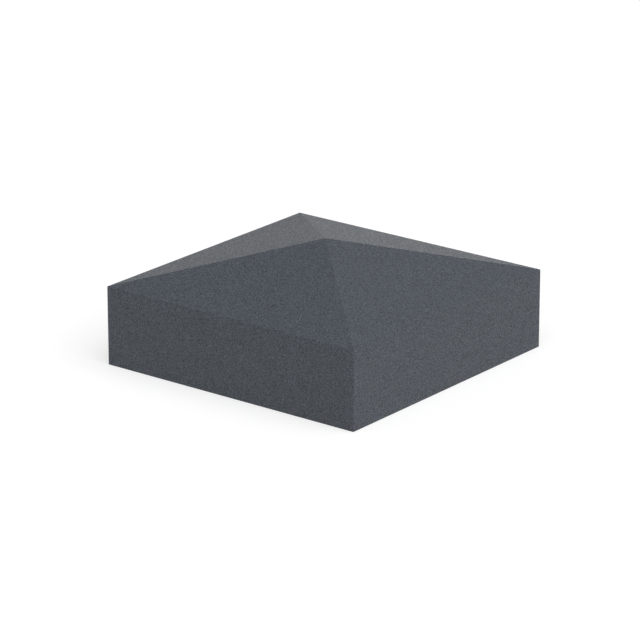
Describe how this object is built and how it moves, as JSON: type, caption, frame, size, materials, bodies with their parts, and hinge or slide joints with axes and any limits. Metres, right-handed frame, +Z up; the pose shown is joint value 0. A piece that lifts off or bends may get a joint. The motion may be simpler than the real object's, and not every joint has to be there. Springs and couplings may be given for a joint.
{
  "type": "post cap",
  "caption": "Low pyramid cap with a plain square skirt, hollow underneath with stepped ribs, that goes over the end of a square post.",
  "frame": {"origin": "middle of the rim, on the plane of the skirt's lower edge", "axes": "+Z up the post's axis to the peak of the roof, +X and +Y square to two of the skirt's sides"},
  "size_m": [0.106, 0.106, 0.0426],
  "materials": {
    "powder_coat": "fine-textured matt anthracite powder coat on cast aluminium"
  },
  "bodies": {
    "root": {"post_cap": "powder_coat"}
  },
  "joints": []
}
